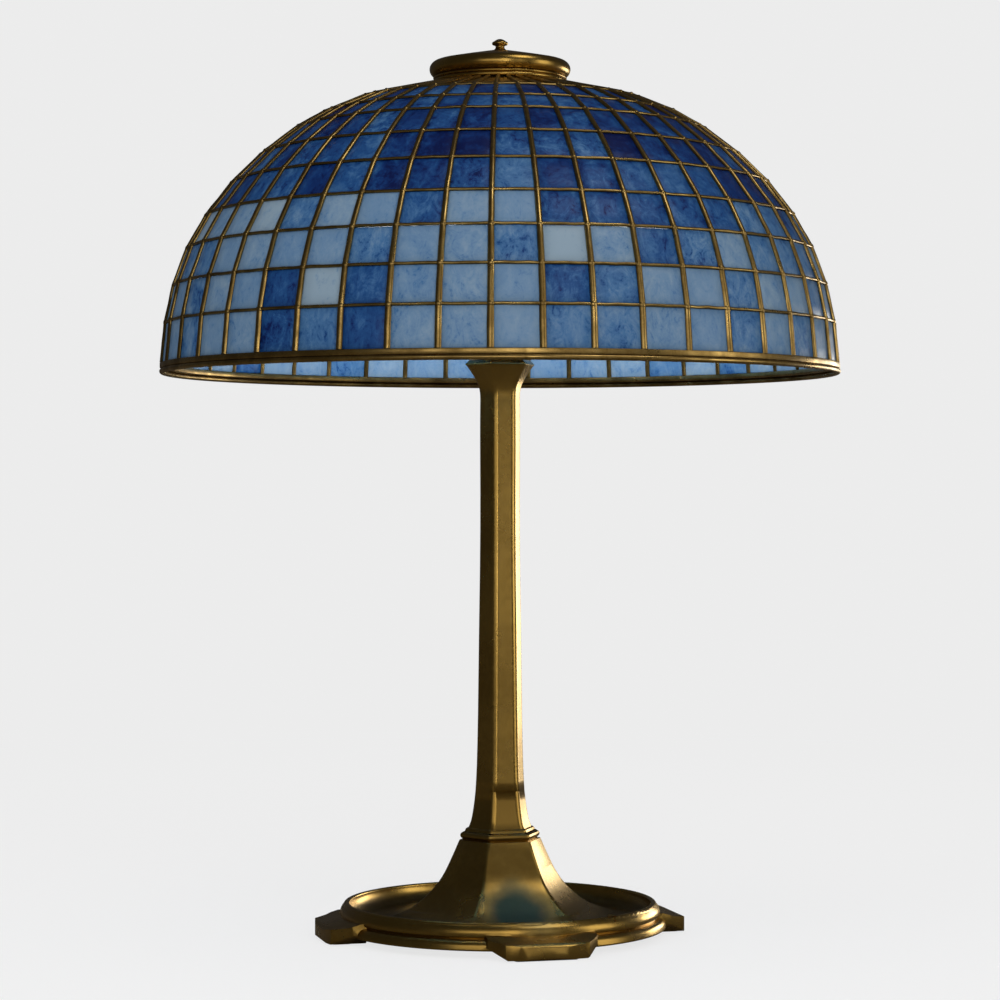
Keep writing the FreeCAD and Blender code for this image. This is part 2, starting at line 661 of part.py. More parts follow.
def save_stem():
    """The column, the pipe and what they carry up to the shade's seat."""
    save("column_collar", column_collar())
    save("column", column())
    save("capital_plate", capital_plate())
    save("lamp_pipe", lamp_pipe())
    wires = [Vector(x, 0, 0) for x in (-1.35, 1.35)]
    save("riser_wires", *[rod(1.2, 26.0, CLUSTER_Z + 6, w) for w in wires])
    save("wire_nuts", *[wire_nut(Vector(x, 0, 12.4)) for x in (-5.2, 5.2)])
    save("cluster_body", cluster_body())
    save("cluster_cover", cluster_cover())
    seats = (CLUSTER_SPAN[1] + 7.1, HUB_Z[1])
    save("pipe_locknuts", *[hex_nut(9.2, PIPE_HOLE, z, z + LOCKNUT_T) for z in seats])
    save("riser_sleeve", riser_sleeve())
    save("shade_spider", shade_spider())
    save("top_stud", top_stud())


def save_sockets():
    """The three sockets, their keys and their bulbs."""
    sockets = range(SOCKETS)
    save("socket_nipples", *[on_socket(tube(5.0, 3.5, *NIPPLE_SPAN), k) for k in sockets])
    save("socket_leads", *[on_socket(rod(1.6, 15.0, INSULATOR_SPAN[0] + 2.5), k) for k in sockets])
    pieces = {"socket_cap": socket_cap(), "socket_shell": socket_shell(), "socket_insulator": socket_insulator(),
              "screw_shell": screw_shell(), "turn_key": turn_key(), "bulb_base": bulb_base(),
              "bulb_glass": bulb_glass()}
    for name, piece in pieces.items():
        for k in sockets:
            save(f"{name}_{k + 1}", on_socket(piece, k))


def save_shade():
    """The shade: its glass, its lattice, its crown and its rim."""
    for k in range(1, len(COURSES) + 1):
        save(f"glass_course_{k}", *ring_of(glass_tile(k), COLUMNS))
    lines = range(1, len(COURSES) + 1)
    save("cross_bars", *[bar for k in lines for bar in ring_of(cross_bar(k), COLUMNS)])
    save("rib_cames", *ring_of(rib(), COLUMNS))
    save("rim_band", rim_band())
    save("rim_bead", rim_bead())
    save("crown_plate", crown_plate())
    save("aperture_ring", aperture_ring())


def main():
    """Writes every node."""
    os.makedirs("parts", exist_ok=True)
    save_base()
    save_stem()
    save_sockets()
    save_shade()
    save("heat_cap", heat_cap())
    save("finial", finial())


main()
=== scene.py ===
"""Leaded glass table lamp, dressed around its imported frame.

Opalescent tiles in rounded brass cames, a patinated bronze stem and base, and the fittings inside.
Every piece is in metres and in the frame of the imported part: +Z up, the front foot along -Y.
"""

from __future__ import annotations

import json
import logging
import math
import random
from dataclasses import dataclass
from enum import Enum
from typing import Any, Iterable, Mapping, Sequence, Union

import bmesh
import bpy
from mathutils import Matrix, Vector, noise

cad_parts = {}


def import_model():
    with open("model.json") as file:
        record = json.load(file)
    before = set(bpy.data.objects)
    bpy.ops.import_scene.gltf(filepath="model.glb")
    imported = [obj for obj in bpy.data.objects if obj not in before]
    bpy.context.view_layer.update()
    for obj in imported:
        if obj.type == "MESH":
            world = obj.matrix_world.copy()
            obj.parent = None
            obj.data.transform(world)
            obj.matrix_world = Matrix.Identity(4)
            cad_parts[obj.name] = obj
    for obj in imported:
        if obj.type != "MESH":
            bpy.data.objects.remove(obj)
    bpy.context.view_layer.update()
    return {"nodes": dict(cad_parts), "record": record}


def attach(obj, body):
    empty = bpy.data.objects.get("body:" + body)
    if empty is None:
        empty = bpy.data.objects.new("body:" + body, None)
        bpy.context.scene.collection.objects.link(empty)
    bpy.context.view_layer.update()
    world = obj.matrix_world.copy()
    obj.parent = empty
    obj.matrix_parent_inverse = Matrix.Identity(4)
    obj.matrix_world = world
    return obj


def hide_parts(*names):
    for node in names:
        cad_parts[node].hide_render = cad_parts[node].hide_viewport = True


LOG = logging.getLogger("lamp")
Colour = tuple[float, float, float]
Stop = tuple[float, Colour]
MM = 0.001


class Body(str, Enum):
    """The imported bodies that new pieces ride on."""

    STAND = "stand"
    SHADE = "shade"


class Tone(Enum):
    """The glazier's six sheets of glass, from the palest to the darkest."""

    PALE = ("P", 0.04)
    LIGHT = ("L", 0.21)
    MID = ("M", 0.40)
    BLUE = ("B", 0.60)
    DEEP = ("D", 0.79)
    NAVY = ("N", 0.95)

    @classmethod
    def depth(cls, letter: str) -> float:
        """The depth of colour, 0 to 1, that a letter of the glazing plan stands for."""
        return next(tone.value[1] for tone in cls if tone.value[0] == letter)


# ---------------------------------------------------------------- shader building


@dataclass(frozen=True)
class Channel:
    """A number socket, so that shader maths reads as an expression."""

    shader: "Shader"
    socket: bpy.types.NodeSocket

    def maths(self, operation: str, *others: "Number", clamp: bool = False) -> "Channel":
        """Adds a Math node that starts from this value."""
        return self.shader.maths(operation, self, *others, clamp=clamp)

    def __add__(self, other: "Number") -> "Channel":
        """This value plus another."""
        return self.maths("ADD", other)

    def __radd__(self, other: "Number") -> "Channel":
        """Another value plus this one."""
        return self.maths("ADD", other)

    def __sub__(self, other: "Number") -> "Channel":
        """This value less another."""
        return self.maths("SUBTRACT", other)

    def __rsub__(self, other: "Number") -> "Channel":
        """Another value less this one."""
        return self.shader.maths("SUBTRACT", other, self)

    def __mul__(self, other: "Number") -> "Channel":
        """This value times another."""
        return self.maths("MULTIPLY", other)

    def __rmul__(self, other: "Number") -> "Channel":
        """Another value times this one."""
        return self.maths("MULTIPLY", other)

    def span(self, low: float, high: float) -> "Channel":
        """A smooth step from 0 at low to 1 at high."""
        node = self.shader.node("ShaderNodeMapRange", {"interpolation_type": "SMOOTHSTEP"},
                                {0: self, 1: low, 2: high, 3: 0.0, 4: 1.0})
        return Channel(self.shader, node.outputs[0])


Number = Union[Channel, float]


class Shader:
    """A material under construction."""

    def __init__(self, name: str) -> None:
        """Starts an empty node tree with an output.

        Args:
            name: the material's name.
        """
        self.material = bpy.data.materials.new(name)
        self.material.use_nodes = True
        self.tree = self.material.node_tree
        self.tree.nodes.clear()
        self.output = self.tree.nodes.new("ShaderNodeOutputMaterial")
        self.place = self.node("ShaderNodeTexCoord").outputs["Object"]

    def node(self, kind: str, settings: Mapping[str, Any] | None = None,
             inputs: Mapping[Any, Any] | None = None) -> bpy.types.Node:
        """Adds a node.

        Args:
            kind: the node's type.
            settings: its properties; "stops" sets a colour ramp.
            inputs: values or links for its sockets, by name or number.

        Returns:
            The node.
        """
        node = self.tree.nodes.new(kind)
        for key, value in (settings or {}).items():
            if key == "stops":
                self.set_stops(node.color_ramp, value)
            else:
                setattr(node, key, value)
        for key, value in (inputs or {}).items():
            source = value.socket if isinstance(value, Channel) else value
            if isinstance(source, bpy.types.NodeSocket):
                self.tree.links.new(source, node.inputs[key])
            else:
                node.inputs[key].default_value = source
        return node

    @staticmethod
    def set_stops(ramp: bpy.types.ColorRamp, stops: Sequence[Stop]) -> None:
        """Fills a colour ramp."""
        while len(ramp.elements) < len(stops):
            ramp.elements.new(0.5)
        for element, (position, colour) in zip(ramp.elements, stops):
            element.position = position
            element.color = (*colour, 1.0)

    def maths(self, operation: str, *values: Number, clamp: bool = False) -> Channel:
        """Adds a Math node over any mix of numbers and channels."""
        settings = {"operation": operation, "use_clamp": clamp}
        node = self.node("ShaderNodeMath", settings, dict(enumerate(values)))
        return Channel(self, node.outputs[0])

    def noise(self, scale: float, detail: float = 3.0, distortion: float = 0.0,
              place: bpy.types.NodeSocket | None = None, rough: float = 0.5) -> Channel:
        """Cloudy noise with a number of cells per metre."""
        node = self.node("ShaderNodeTexNoise", None,
                         {"Vector": place or self.place, "Scale": scale, "Detail": detail,
                          "Roughness": rough, "Distortion": distortion})
        return Channel(self, node.outputs["Fac"])

    def attribute(self, name: str, output: str = "Fac") -> bpy.types.NodeSocket:
        """A named attribute of the mesh."""
        return self.node("ShaderNodeAttribute", {"attribute_name": name}).outputs[output]

    def axes(self) -> tuple[Channel, Channel, Channel]:
        """The x, y and z of a point, as numbers."""
        node = self.node("ShaderNodeSeparateXYZ", None, {0: self.place})
        return tuple(Channel(self, socket) for socket in node.outputs)

    def mix(self, amount: Number, first: Any, second: Any) -> bpy.types.NodeSocket:
        """Blends two colours."""
        sides = [(*side, 1.0) if isinstance(side, tuple) else side for side in (first, second)]
        node = self.node("ShaderNodeMix", {"data_type": "RGBA"}, {0: amount, 6: sides[0], 7: sides[1]})
        return node.outputs[2]

    def ramp(self, value: Channel, stops: Sequence[Stop]) -> bpy.types.NodeSocket:
        """A colour chosen by a value."""
        return self.node("ShaderNodeValToRGB", {"stops": stops}, {0: value}).outputs[0]

    def bump(self, height: Channel, strength: float, distance: float) -> bpy.types.NodeSocket:
        """A normal bent by a height."""
        return self.node("ShaderNodeBump", None,
                         {"Height": height, "Strength": strength, "Distance": distance}).outputs[0]

    def surface(self, **inputs: Any) -> bpy.types.Material:
        """Closes the material with one Principled shader.

        Args:
            inputs: socket values, with underscores for spaces in the sockets' names.

        Returns:
            The material.
        """
        named = {key.replace("_", " "): value for key, value in inputs.items()}
        shader = self.node("ShaderNodeBsdfPrincipled", None, named)
        self.tree.links.new(shader.outputs[0], self.output.inputs["Surface"])
        return self.material


# ---------------------------------------------------------------- finishes


# Where the dish of the base is darkened, as dust and painted shade: the radii and the height over which the
# darkening sets in or ends, in metres.
DISH_FROM, DISH_TO, DISH_BRIM = (0.058, 0.075), (0.0985, 0.1015), (0.0195, 0.0222)
DISH_SHADE_AND_DUST: Colour = (0.075, 0.050, 0.017)
# The middle of the dark green patch on the flare: its height, and how far it lies before the axis.
GREEN_PATCH_HEIGHT, GREEN_PATCH_FORWARD = 0.020, 0.058
FLARE_GREEN: Colour = (0.006, 0.040, 0.031)


@dataclass(frozen=True)
class PatinaMetal:
    """Brass or bronze under a brown patina that has worn through in places."""

    name: str
    bright: Colour
    dark: Colour
    cover: float = 0.5
    grain: float = 35.0
    polish: float = 0.24
    dull: float = 0.42
    pitting: float = 0.12
    dish_shade_and_green_patch: bool = False

    def green(self, shader: Shader) -> Channel:
        """Where the flare is tinted dark green: low on the flare, above all at the front."""
        x, y, z = shader.axes()
        low = z - GREEN_PATCH_HEIGHT
        spread = x * x * 1500.0 + x * x * low * 52000.0
        forward = y + GREEN_PATCH_FORWARD
        front = spread + forward * forward * 300.0 + low * low * 1300.0
        patch_mask = 1.0 - (front + (shader.noise(45.0, 4.0, 0.6) - 0.5) * 0.7).span(0.18, 1.15)
        return patch_mask * 0.94

    def material(self) -> bpy.types.Material:
        """Builds the material."""
        s = Shader(self.name)
        cloud = s.noise(self.grain, 4.0, 0.4)
        fine = s.noise(self.grain * 14.0, 3.0)
        bare = 1.0 - self.cover
        worn = (cloud * 0.8 + fine * 0.2).span(0.42 - 0.12 * bare, 0.78 - 0.2 * bare)
        colour = s.mix(worn, self.dark, self.bright)
        rough = self.dull + (self.polish - self.dull) * worn + (fine - 0.5) * 0.08
        metal: Number = 1.0
        if self.dish_shade_and_green_patch:
            x, y, z = s.axes()
            reach = (x * x + y * y).maths("SQRT")
            in_dish = reach.span(*DISH_FROM) * (1.0 - reach.span(*DISH_TO))
            # painted shade and dust: the colour darkens inside the dish, below its brim
            dish_shade_and_dust = in_dish * (1.0 - z.span(*DISH_BRIM))
            colour = s.mix(dish_shade_and_dust * 0.8, colour, DISH_SHADE_AND_DUST)
            rough = rough + dish_shade_and_dust * 0.16
            # a dark green patch low on the front of the flare
            green = self.green(s)
            colour = s.mix(green, colour, FLARE_GREEN)
            rough = rough + green * 0.12
            metal = 1.0 - green * 0.55
        pits = s.bump(fine * 0.3 + cloud * 0.7, self.pitting, 0.0006)
        return s.surface(Base_Color=colour, Metallic=metal, Roughness=rough, Normal=pits)


@dataclass(frozen=True)
class OpalGlass:
    """Streaky opalescent sheet glass. Each tile's depth of colour and swirl are attributes of its faces."""

    name: str = "opal_glass"

    def material(self) -> bpy.types.Material:
        """Builds the material."""
        s = Shader(self.name)
        depth = Channel(s, s.attribute("depth"))
        swirl = s.attribute("swirl", "Vector")
        mottle = Channel(s, s.attribute("mottle"))
        place = s.node("ShaderNodeVectorMath", {"operation": "ADD"}, {0: s.place, 1: swirl}).outputs[0]
        streaky = s.node("ShaderNodeMapping", None, {"Vector": place, "Scale": (1.0, 1.0, 0.6),
                                                     "Rotation": (0.5, 0.3, 0.2)}).outputs[0]
        cloud = s.noise(46.0, 5.0, 1.0, streaky, 0.62)
        wisps = s.noise(120.0, 6.0, 1.5, streaky, 0.72)
        fine = s.noise(520.0, 4.0, 0.4, place, 0.65)
        drift = (cloud - 0.5) * 0.62 + (wisps - 0.5) * 0.62 + (fine - 0.5) * 0.20
        ink = (wisps * 0.7 + fine * 0.3).span(0.53, 0.66) * cloud.span(0.38, 0.60)
        shade = depth + (drift + ink * 0.22) * mottle
        colour = s.ramp(shade, GLASS_STOPS)
        ripple = s.noise(62.0, 2.0, 0.5, place) * 0.8 + fine * 0.2
        return s.surface(Base_Color=colour, Roughness=0.34 + cloud * 0.16,
                         Normal=s.bump(ripple, 0.12, 0.0006), IOR=1.45, Specular_IOR_Level=0.22)


GLASS_STOPS: tuple[Stop, ...] = (
    (0.00, (0.245, 0.335, 0.420)), (0.20, (0.140, 0.240, 0.375)), (0.40, (0.056, 0.150, 0.315)),
    (0.60, (0.012, 0.068, 0.215)), (0.80, (0.003, 0.026, 0.130)), (1.00, (0.001, 0.007, 0.062)))


@dataclass(frozen=True)
class MottledFinish:
    """A finish of one colour that drifts a little, with a fine grain."""

    name: str
    base: Colour
    shade: Colour
    metallic: float = 0.0
    roughness: float = 0.5
    grain: float = 300.0
    relief: float = 0.15
    coat: float = 0.0
    sheen: float = 0.0

    def material(self) -> bpy.types.Material:
        """Builds the material."""
        s = Shader(self.name)
        drift = s.noise(self.grain * 0.12, 3.0)
        fine = s.noise(self.grain, 3.0)
        colour = s.mix((drift * 0.6 + fine * 0.4).span(0.35, 0.65), self.shade, self.base)
        return s.surface(Base_Color=colour, Metallic=self.metallic,
                         Roughness=self.roughness + (drift - 0.5) * 0.12,
                         Coat_Weight=self.coat, Sheen_Weight=self.sheen,
                         Normal=s.bump(fine, self.relief, 0.0004))


FINISHES: dict[str, PatinaMetal | OpalGlass | MottledFinish] = {finish.name: finish for finish in (
    PatinaMetal("antique_bronze", bright=(0.50, 0.325, 0.085), dark=(0.33, 0.205, 0.05), cover=0.5,
                grain=16.0, polish=0.24, dull=0.30, pitting=0.02, dish_shade_and_green_patch=True),
    PatinaMetal("gilt_brass", bright=(0.60, 0.43, 0.17), dark=(0.33, 0.22, 0.08), cover=0.4, grain=40.0,
                polish=0.22, dull=0.36, pitting=0.10),
    PatinaMetal("solder_brass", bright=(0.47, 0.32, 0.11), dark=(0.24, 0.155, 0.05), cover=0.45, grain=60.0,
                polish=0.26, dull=0.42, pitting=0.12),
    PatinaMetal("bright_brass", bright=(0.75, 0.57, 0.26), dark=(0.5, 0.36, 0.15), cover=0.3, grain=60.0,
                polish=0.18, dull=0.3, pitting=0.06),
    PatinaMetal("copper_sleeve", bright=(0.72, 0.38, 0.22), dark=(0.42, 0.2, 0.11), cover=0.3, grain=60.0,
                polish=0.2, dull=0.32, pitting=0.06),
    MottledFinish("zinc_steel", base=(0.56, 0.56, 0.54), shade=(0.42, 0.42, 0.40), metallic=1.0,
                  roughness=0.32, grain=500.0, relief=0.1),
    MottledFinish("weight_iron", base=(0.09, 0.085, 0.08), shade=(0.045, 0.04, 0.037), metallic=0.6,
                  roughness=0.62, grain=220.0, relief=0.7),
    MottledFinish("porcelain", base=(0.80, 0.78, 0.71), shade=(0.70, 0.67, 0.60), roughness=0.22,
                  grain=160.0, relief=0.05, coat=0.4),
    MottledFinish("felt", base=(0.05, 0.065, 0.05), shade=(0.025, 0.032, 0.025), roughness=0.95,
                  grain=900.0, relief=0.8, sheen=0.6),
    MottledFinish("black_plastic", base=(0.022, 0.021, 0.02), shade=(0.012, 0.012, 0.011), roughness=0.38,
                  grain=700.0, relief=0.12, coat=0.15),
    MottledFinish("wire_cover", base=(0.10, 0.075, 0.055), shade=(0.06, 0.045, 0.035), roughness=0.55,
                  grain=500.0, relief=0.15),
    MottledFinish("bulb_glass", base=(0.86, 0.85, 0.80), shade=(0.78, 0.77, 0.72), roughness=0.42,
                  grain=500.0, relief=0.05, coat=0.1),
    OpalGlass(),
)}


class Paint:
    """The materials, each made once, on first use."""

    made: dict[str, bpy.types.Material] = {}

    @classmethod
    def of(cls, slot: str) -> bpy.types.Material:
        """The material for a slot of the record."""
        key = "opal_glass" if slot in ("pale_glass", "blue_glass") else slot
        if key not in cls.made:
            cls.made[key] = FINISHES[key].material()
        return cls.made[key]


# ---------------------------------------------------------------- modelling


@dataclass(frozen=True)
class Station:
    """A place on a sweep: its centre, its direction, its outward side and its half sizes."""

    centre: Vector
    along: Vector
    out: Vector
    half_width: float
    half_height: float

    def matrix(self) -> Matrix:
        """Takes a unit circle in XY to this station's section."""
        z = self.along.normalized()
        x = z.cross(self.out).normalized()
        y = x.cross(z) * -1.0
        y = y if y.dot(self.out) > 0 else -y
        columns = (x * self.half_width, y * self.half_height, z * self.half_width, self.centre)
        return Matrix([[*(column[i] for column in columns)] for i in range(3)] + [[0.0, 0.0, 0.0, 1.0]])


def sweep(bm: bmesh.types.BMesh, stations: Sequence[Station], sides: int = 8) -> None:
    """Sweeps a round section through stations.

    Args:
        bm: the mesh to add to.
        stations: two or more places along the path.
        sides: the number of sides of the section.
    """
    placed = stations[0].matrix()
    ring = bmesh.ops.create_circle(bm, cap_ends=True, segments=sides, radius=1.0, matrix=placed)["verts"]
    face = ring[0].link_faces[0]
    for station in stations[1:]:
        grown = bmesh.ops.extrude_face_region(bm, geom=[face])["geom"]
        verts = [item for item in grown if isinstance(item, bmesh.types.BMVert)]
        caps = [item for item in grown if isinstance(item, bmesh.types.BMFace)]
        if station is not stations[1]:
            bmesh.ops.delete(bm, geom=[face], context="FACES_ONLY")
        target = station.matrix()
        bmesh.ops.transform(bm, matrix=target @ placed.inverted(), verts=verts)
        placed, face = target, caps[0]


def around(bm: bmesh.types.BMesh, count: int) -> None:
    """Repeats all of a mesh evenly about the lamp's axis."""
    step = math.tau / count
    bmesh.ops.spin(bm, geom=bm.verts[:] + bm.edges[:] + bm.faces[:], cent=(0, 0, 0), axis=(0, 0, 1),
                   dvec=(0, 0, 0), angle=step * (count - 1), steps=count - 1, use_duplicate=True)


def waver(bm: bmesh.types.BMesh, amount: float, cell: float, seed: float = 0.0) -> None:
    """Moves vertices a little, smoothly over space, as hand work does.

    Args:
        bm: the mesh.
        amount: the largest move.
        cell: the distance over which the move changes.
        seed: shifts the pattern.
    """
    for vert in bm.verts:
        vert.co += noise.noise_vector(vert.co / cell + Vector((seed, seed * 0.7, -seed))) * amount


def finish_piece(bm: bmesh.types.BMesh, name: str, slot: str, body: Body, replaced: Iterable[str] = (),
                 smooth: float = 40.0, recalc: bool = True) -> bpy.types.Object:
    """Turns a bmesh into a finished piece on its body.

    Args:
        bm: the mesh, which is freed.
        name: the piece's name.
        slot: the record's material slot.
        body: the body that the piece rides on.
        replaced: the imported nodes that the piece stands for.
        smooth: the angle in degrees above which an edge stays sharp.
        recalc: whether the faces still have to be turned outwards.

    Returns:
        The piece.
    """
    if recalc:
        bmesh.ops.recalc_face_normals(bm, faces=bm.faces)
    limit = math.radians(smooth)
    for face in bm.faces:
        face.smooth = True
    for edge in bm.edges:
        edge.smooth = len(edge.link_faces) == 2 and edge.calc_face_angle(0.0) < limit
    mesh = bpy.data.meshes.new(name)
    bm.to_mesh(mesh)
    bm.free()
    mesh.materials.append(Paint.of(slot))
    piece = bpy.data.objects.new(name, mesh)
    bpy.context.scene.collection.objects.link(piece)
    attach(piece, body.value)
    nodes = list(replaced)
    if nodes:
        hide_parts(*nodes)
    LOG.info("%s: %d faces", name, len(mesh.polygons))
    return piece


def merged_copy(node: bpy.types.Object) -> bmesh.types.BMesh:
    """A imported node's shape, with its triangles joined and its flat faces whole."""
    bm = bmesh.new()
    bm.from_mesh(node.data)
    bmesh.ops.remove_doubles(bm, verts=bm.verts, dist=1e-6)
    bmesh.ops.dissolve_limit(bm, angle_limit=math.radians(0.6), verts=bm.verts, edges=bm.edges)
    return bm


@dataclass
class Dome:
    """The shade's geometry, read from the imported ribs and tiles."""

    nodes: Mapping[str, bpy.types.Object]
    columns: int = 45
    courses: int = 9

    def __post_init__(self) -> None:
        """Reads the ribs' outer line, from the rim up."""
        reach = 2.0 * MM
        points = [Vector((-v.co.y, 0.0, v.co.z)) for v in self.nodes["rib_cames"].data.vertices
                  if v.co.y < 0.0 and abs(v.co.x) < reach]
        self.line: list[Vector] = []
        for degree in range(0, 91):
            aim = Vector((math.cos(math.radians(degree)), 0.0, math.sin(math.radians(degree))))
            best = max(points, key=aim.dot)
            if not self.line or (best - self.line[-1]).length > 0.5 * MM:
                self.line.append(best)

    def out_at(self, k: int) -> Vector:
        """The outward normal at point k of the line, in the meridian plane."""
        before, after = max(k - 1, 0), min(k + 1, len(self.line) - 1)
        run = (self.line[after] - self.line[before]).normalized()
        return Vector((run.z, 0.0, -run.x))

    def seat(self, k: int, depth: float) -> Vector:
        """Point k of the line, moved inwards."""
        return self.line[k] - self.out_at(k) * depth


@dataclass
class Lattice:
    """The cames: rounded ribs, thinner cross bars and a knot of solder on each crossing."""

    dome: Dome
    rib_half: float = 2.15 * MM
    rib_half_top: float = 1.55 * MM
    rib_rise: float = 1.45 * MM
    bar_half: float = 1.0 * MM
    bar_rise: float = 0.9 * MM
    outer_depth: float = 0.75 * MM
    inner_depth: float = 4.65 * MM
    steps: int = 4

    def rib_stations(self, depth: float, shrink: float, last: int) -> list[Station]:
        """The sections of the front rib, a few to each course."""
        line, dome = [], self.dome
        count = len(dome.line) - 1
        for k in range(last):
            for i in range(self.steps + (k == last - 1)):
                t = i / self.steps
                point = dome.seat(k, depth).lerp(dome.seat(k + 1, depth), t)
                out = dome.out_at(k).lerp(dome.out_at(k + 1), t).normalized()
                share = (k + t) / count
                half = self.rib_half + (self.rib_half_top - self.rib_half) * min(1.0, share * 1.15)
                along = (dome.seat(k + 1, depth) - dome.seat(k, depth)).normalized()
                line.append(Station(Vector((0.0, -point.x, point.z)), Vector((0.0, -along.x, along.z)),
                                    Vector((0.0, -out.x, out.z)), half * shrink, self.rib_rise * shrink))
        return line

    def ribs(self) -> None:
        """All the ribs, with their outer and inner beads."""
        bm = bmesh.new()
        count = len(self.dome.line) - 1
        sweep(bm, self.rib_stations(self.outer_depth, 1.0, count))
        sweep(bm, self.rib_stations(self.inner_depth, 0.82, count - 1))
        around(bm, self.dome.columns)
        waver(bm, 0.22 * MM, 9.0 * MM)
        finish_piece(bm, "rib_beads", "solder_brass", Body.SHADE, ["rib_cames"], 60.0)

    def bars(self) -> None:
        """All the cross bars, with their outer and inner beads."""
        bm = bmesh.new()
        pitch = math.tau / self.dome.columns
        for k in range(1, self.dome.courses + 1):
            for depth, shrink in ((self.outer_depth, 1.0), (self.inner_depth + 0.2 * MM, 0.9)):
                seat, out = self.dome.seat(k, depth), self.dome.out_at(k)
                ends = [Matrix.Rotation(a, 3, "Z") @ Vector((0.0, -seat.x, seat.z)) for a in (0.0, pitch)]
                side = Matrix.Rotation(pitch / 2, 3, "Z") @ Vector((0.0, -out.x, out.z))
                run = ends[1] - ends[0]
                stations = [Station(ends[0].lerp(ends[1], t), run, side, self.bar_half * shrink,
                                    self.bar_rise * shrink) for t in (0.02, 0.26, 0.5, 0.74, 0.98)]
                sweep(bm, stations)
        around(bm, self.dome.columns)
        waver(bm, 0.42 * MM, 7.0 * MM, 5.0)
        finish_piece(bm, "bar_beads", "solder_brass", Body.SHADE, ["cross_bars"], 60.0)

    def knots(self) -> None:
        """A low dome of solder where each bar meets a rib."""
        bm = bmesh.new()
        for k in range(1, self.dome.courses + 1):
            share = k / (len(self.dome.line) - 1)
            half = self.rib_half + (self.rib_half_top - self.rib_half) * share
            for depth, shrink in ((self.outer_depth, 1.0), (self.inner_depth, 0.85)):
                seat, out = self.dome.seat(k, depth), self.dome.out_at(k)
                station = Station(Vector((0.0, -seat.x, seat.z)), Vector((0.0, -out.z, -out.x)),
                                  Vector((0.0, -out.x, out.z)), half * 1.22 * shrink,
                                  self.rib_rise * 1.2 * shrink)
                bmesh.ops.create_uvsphere(bm, u_segments=8, v_segments=5, radius=1.0,
                                          matrix=station.matrix())
        around(bm, self.dome.columns)
        waver(bm, 0.35 * MM, 3.0 * MM, 9.0)
        finish_piece(bm, "solder_knots", "solder_brass", Body.SHADE, (), 70.0)

    def build(self) -> None:
        """Makes the whole lattice."""
        self.ribs()
        self.bars()
        self.knots()


# The glazing plan, a letter of Tone to a tile: a string to a course from the rim up, from column
# FIRST_PLANNED on. The rest of each course is drawn by lot from the course's own mixture.
FIRST_PLANNED = -12
PLAN = (
    "LLMLLBMBLLLMMLLMLMLLL",
    "LLMLLBPBLLLBMLLMLLMLL",
    "LMMLLLLMLLMPLBMLMMMLL",
    "PPLLPMLLBLLBBBBBMMBMM",
    "MBDBBDBDDBMDDBBBDDDDD",
    "MBBDBBBDNNBBBNDDDBDDB",
    "DDBDDDBDBDBDDDDDDDDBD",
    "DBDNDBDBDBBBBDDBNDDBD",
    "DDBDBDBBBDBDDDBDDBDDB",
)


@dataclass
class Glazing:
    """The flat tiles of opalescent glass, each with eased edges and a hand-rolled surface."""

    dome: Dome
    seed: int = 7
    edge: float = 0.22 * MM
    roll: float = 0.05 * MM
    cuts: int = 2

    def islands(self, bm: bmesh.types.BMesh) -> list[list[bmesh.types.BMFace]]:
        """The faces of each tile, sorted by the tile's azimuth."""
        left, found = set(bm.faces), []
        while left:
            queue, tile = [left.pop()], []
            while queue:
                face = queue.pop()
                tile.append(face)
                for other in {f for edge in face.edges for f in edge.link_faces} & left:
                    left.discard(other)
                    queue.append(other)
            found.append(tile)
        return sorted(found, key=self.column)

    def column(self, tile: Sequence[bmesh.types.BMFace]) -> int:
        """The tile's column, counted from the front rib towards +X."""
        middle = sum((face.calc_center_median() for face in tile), Vector()) / len(tile)
        turn = math.atan2(middle.x, -middle.y) / math.tau * self.dome.columns
        return math.floor(turn)

    def letter(self, course: int, column: int, lot: random.Random) -> str:
        """The glass that a tile is cut from."""
        index = column - FIRST_PLANNED
        drawn = lot.choice(PLAN[course - 1])
        return PLAN[course - 1][index] if 0 <= index < len(PLAN[course - 1]) else drawn

    def course(self, k: int, lot: random.Random) -> None:
        """Cuts and seats one course.

        Args:
            k: the course's number, from the rim up.
            lot: the source of chance.
        """
        node = f"glass_course_{k}"
        bm = merged_copy(self.dome.nodes[node])
        depth = bm.faces.layers.float.new("depth")
        mottle = bm.faces.layers.float.new("mottle")
        swirl = bm.faces.layers.float_vector.new("swirl")
        for tile in self.islands(bm):
            letter = self.letter(k, self.column(tile), lot)
            tone = Tone.depth(letter) + lot.uniform(-0.05, 0.05)
            stir = lot.uniform(0.4, 0.8) if letter in "PL" else lot.uniform(0.85, 1.6)
            place = Vector([lot.uniform(-3.0, 3.0) for _ in range(3)])
            for face in tile:
                face[depth], face[mottle], face[swirl] = tone, stir, place
        long = [edge for edge in bm.edges if edge.calc_length() > 4.0 * MM]
        bmesh.ops.subdivide_edges(bm, edges=long, cuts=self.cuts, use_grid_fill=True)
        waver(bm, self.roll, 11.0 * MM, float(k))
        sharp = [edge for edge in bm.edges if edge.is_manifold and edge.calc_face_angle(0.0) > 0.9]
        bmesh.ops.bevel(bm, geom=sharp, offset=self.edge, segments=1, profile=0.5, affect="EDGES",
                        material=-1)
        slot = "pale_glass" if k <= 3 else "blue_glass"
        finish_piece(bm, f"opal_tiles_{k}", slot, Body.SHADE, [node], 50.0)

    def build(self) -> None:
        """Glazes every course."""
        lot = random.Random(self.seed)
        for k in range(1, self.dome.courses + 1):
            self.course(k, lot)


